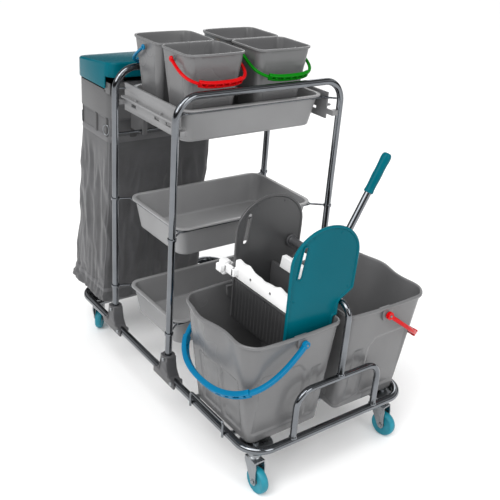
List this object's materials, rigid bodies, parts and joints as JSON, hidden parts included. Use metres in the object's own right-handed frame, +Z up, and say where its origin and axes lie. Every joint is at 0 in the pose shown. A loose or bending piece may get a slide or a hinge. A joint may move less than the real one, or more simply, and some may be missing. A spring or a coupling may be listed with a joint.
{
  "type": "cleaning trolley with mop buckets and wringer",
  "caption": "Wheeled cleaning trolley: chrome tube frame with hanging trays, small pails, twin mop buckets with a lever wringer and a lidded bag holder",
  "frame": {"origin": "on the floor under the middle of the whole trolley", "axes": "+X towards the mop buckets along the trolley, +Y across it away from the bucket that carries the wringer, +Z up"},
  "size_m": [1.129, 0.6864, 1.0793],
  "materials": {
    "chrome_tube": "bright chrome plating",
    "zinc_steel": "zinc plated, satin",
    "tray_plastic": "satin moulded plastic",
    "bucket_plastic": "satin moulded plastic",
    "dark_plastic": "satin moulded plastic",
    "clamp_plastic": "matt moulded plastic",
    "teal_plastic": "glossy moulded plastic",
    "teal_tyre": "matt rubber tread on a grey hub",
    "white_plastic": "satin moulded plastic",
    "bag_fabric": "woven polyester",
    "red_plastic": "glossy",
    "green_plastic": "glossy",
    "blue_plastic": "glossy",
    "yellow_plastic": "glossy"
  },
  "bodies": {
    "trolley": {"base_loop": "chrome_tube", "support_bar_front": "zinc_steel", "support_bar_middle": "zinc_steel", "support_bar_rear": "zinc_steel", "end_hoop": "chrome_tube", "divider_hoop": "chrome_tube", "guard_rail_left": "chrome_tube", "guard_rail_right": "chrome_tube", "front_upright": "chrome_tube", "rear_upright": "chrome_tube", "front_clamp_left": "clamp_plastic", "front_clamp_right": "clamp_plastic", "rear_clamp_left": "clamp_plastic", "rear_clamp_right": "clamp_plastic", "tray_top": "tray_plastic", "tray_wires_top": "chrome_tube", "tray_middle": "tray_plastic", "tray_wires_middle": "chrome_tube", "tray_bottom": "tray_plastic", "tray_wires_bottom": "chrome_tube", "top_rail_left": "tray_plastic", "top_rail_right": "tray_plastic", "carrier_rod": "chrome_tube", "bag_ring": "bucket_plastic", "lid_hinge_pin": "zinc_steel", "laundry_bag": "bag_fabric"},
    "pail_front_left": {"small_bucket_front_left": "bucket_plastic"},
    "pail_handle_front_left": {"small_handle_front_left": "red_plastic"},
    "pail_front_right": {"small_bucket_front_right": "bucket_plastic"},
    "pail_handle_front_right": {"small_handle_front_right": "green_plastic"},
    "pail_rear_left": {"small_bucket_rear_left": "bucket_plastic"},
    "pail_handle_rear_left": {"small_handle_rear_left": "blue_plastic"},
    "pail_rear_right": {"small_bucket_rear_right": "bucket_plastic"},
    "pail_handle_rear_right": {"small_handle_rear_right": "yellow_plastic"},
    "mop_bucket_a": {"mop_bucket_left": "bucket_plastic"},
    "mop_bucket_b": {"mop_bucket_right": "bucket_plastic"},
    "mop_bail_a": {"mop_handle_left": "blue_plastic"},
    "mop_bail_b": {"mop_handle_right": "red_plastic"},
    "wringer": {"wringer_front_plate": "teal_plastic", "wringer_back_plate": "dark_plastic", "wringer_basket": "dark_plastic", "wringer_beam": "white_plastic"},
    "press": {"press_plate": "dark_plastic", "press_carriage": "white_plastic"},
    "lever": {"wringer_shaft": "clamp_plastic", "lever_tube": "chrome_tube", "lever_grip": "teal_plastic"},
    "lid": {"bag_lid": "teal_plastic"},
    "caster_front_left": {"caster_fork_front_left": "zinc_steel", "caster_axle_front_left": "zinc_steel"},
    "wheel_front_left": {"caster_wheel_front_left": "teal_tyre"},
    "caster_front_right": {"caster_fork_front_right": "zinc_steel", "caster_axle_front_right": "zinc_steel"},
    "wheel_front_right": {"caster_wheel_front_right": "teal_tyre"},
    "caster_rear_left": {"caster_fork_rear_left": "zinc_steel", "caster_axle_rear_left": "zinc_steel"},
    "wheel_rear_left": {"caster_wheel_rear_left": "teal_tyre"},
    "caster_rear_right": {"caster_fork_rear_right": "zinc_steel", "caster_axle_rear_right": "zinc_steel"},
    "wheel_rear_right": {"caster_wheel_rear_right": "teal_tyre"}
  },
  "joints": [
    {"name": "lift_out_pail_front_left", "type": "slide", "parent": "trolley", "child": "pail_front_left", "axis": [0, 0, 1], "range_m": [0, 0.25]},
    {"name": "handle_swing_front_left", "type": "hinge", "parent": "pail_front_left", "child": "pail_handle_front_left", "pos_m": [0.01357, -0.137, 1.0563], "axis": [0, -1, 0], "range_deg": [0, 125]},
    {"name": "lift_out_pail_front_right", "type": "slide", "parent": "trolley", "child": "pail_front_right", "axis": [0, 0, 1], "range_m": [0, 0.25]},
    {"name": "handle_swing_front_right", "type": "hinge", "parent": "pail_front_right", "child": "pail_handle_front_right", "pos_m": [0.01357, 0.089, 1.0563], "axis": [0, -1, 0], "range_deg": [0, 125]},
    {"name": "lift_out_pail_rear_left", "type": "slide", "parent": "trolley", "child": "pail_rear_left", "axis": [0, 0, 1], "range_m": [0, 0.25]},
    {"name": "handle_swing_rear_left", "type": "hinge", "parent": "pail_rear_left", "child": "pail_handle_rear_left", "pos_m": [-0.13463, -0.137, 1.0563], "axis": [0, 1, 0], "range_deg": [0, 125]},
    {"name": "lift_out_pail_rear_right", "type": "slide", "parent": "trolley", "child": "pail_rear_right", "axis": [0, 0, 1], "range_m": [0, 0.25]},
    {"name": "handle_swing_rear_right", "type": "hinge", "parent": "pail_rear_right", "child": "pail_handle_rear_right", "pos_m": [-0.13463, 0.089, 1.0563], "axis": [0, 1, 0], "range_deg": [0, 125]},
    {"name": "lift_out_mop_bucket_left", "type": "slide", "parent": "trolley", "child": "mop_bucket_a", "axis": [0, 0, 1], "range_m": [0, 0.4]},
    {"name": "lift_out_mop_bucket_right", "type": "slide", "parent": "trolley", "child": "mop_bucket_b", "axis": [0, 0.4104, 0.9119], "range_m": [0, 0.4]},
    {"name": "mop_handle_swing_left", "type": "hinge", "parent": "mop_bucket_a", "child": "mop_bail_a", "pos_m": [0.37947, -0.1475, 0.455], "axis": [-1, 0, 0], "range_deg": [0, 109]},
    {"name": "mop_handle_swing_right", "type": "hinge", "parent": "mop_bucket_b", "child": "mop_bail_b", "pos_m": [0.37947, 0.1475, 0.455], "axis": [1, 0, 0], "range_deg": [0, 129]},
    {"name": "lift_off_wringer", "type": "slide", "parent": "mop_bucket_a", "child": "wringer", "axis": [0, 0, 1], "range_m": [0, 0.2]},
    {"name": "lever_pull", "type": "hinge", "parent": "wringer", "child": "lever", "pos_m": [0.39347, 0.003, 0.6], "axis": [-1, 0, 0], "range_deg": [0, 60], "stiffness_Nm_per_rad": 0.6, "springref_deg": -68.75},
    {"name": "press_travel", "type": "slide", "parent": "wringer", "child": "press", "axis": [0, -1, 0], "range_m": [0, 0.0951]},
    {"name": "lid_open", "type": "hinge", "parent": "trolley", "child": "lid", "pos_m": [-0.28553, -0.075, 0.946], "axis": [0, 1, 0], "range_deg": [0, 90]},
    {"name": "caster_swivel_front_left", "type": "hinge", "parent": "trolley", "child": "caster_front_left", "pos_m": [0.49847, -0.235, 0.12], "axis": [0, 0, 1], "continuous": true},
    {"name": "wheel_spin_front_left", "type": "hinge", "parent": "caster_front_left", "child": "wheel_front_left", "pos_m": [0.52047, -0.235, 0.038], "axis": [0, 1, 0], "continuous": true},
    {"name": "caster_swivel_front_right", "type": "hinge", "parent": "trolley", "child": "caster_front_right", "pos_m": [0.49847, 0.235, 0.12], "axis": [0, 0, 1], "continuous": true},
    {"name": "wheel_spin_front_right", "type": "hinge", "parent": "caster_front_right", "child": "wheel_front_right", "pos_m": [0.52022, 0.23829, 0.038], "axis": [-0.1494, 0.9888, 0], "continuous": true},
    {"name": "caster_swivel_rear_left", "type": "hinge", "parent": "trolley", "child": "caster_rear_left", "pos_m": [-0.43153, -0.235, 0.12], "axis": [0, 0, 1], "continuous": true},
    {"name": "wheel_spin_rear_left", "type": "hinge", "parent": "caster_rear_left", "child": "wheel_rear_left", "pos_m": [-0.44889, -0.22148, 0.038], "axis": [-0.6144, -0.789, 0], "continuous": true},
    {"name": "caster_swivel_rear_right", "type": "hinge", "parent": "trolley", "child": "caster_rear_right", "pos_m": [-0.43153, 0.235, 0.12], "axis": [0, 0, 1], "continuous": true},
    {"name": "wheel_spin_rear_right", "type": "hinge", "parent": "caster_rear_right", "child": "wheel_rear_right", "pos_m": [-0.45289, 0.24026, 0.038], "axis": [-0.2392, -0.971, 0], "continuous": true}
  ],
  "couplings": [
    {"joint": "press_travel", "follows": "lever_pull", "m_per_rad": 0.0907}
  ]
}
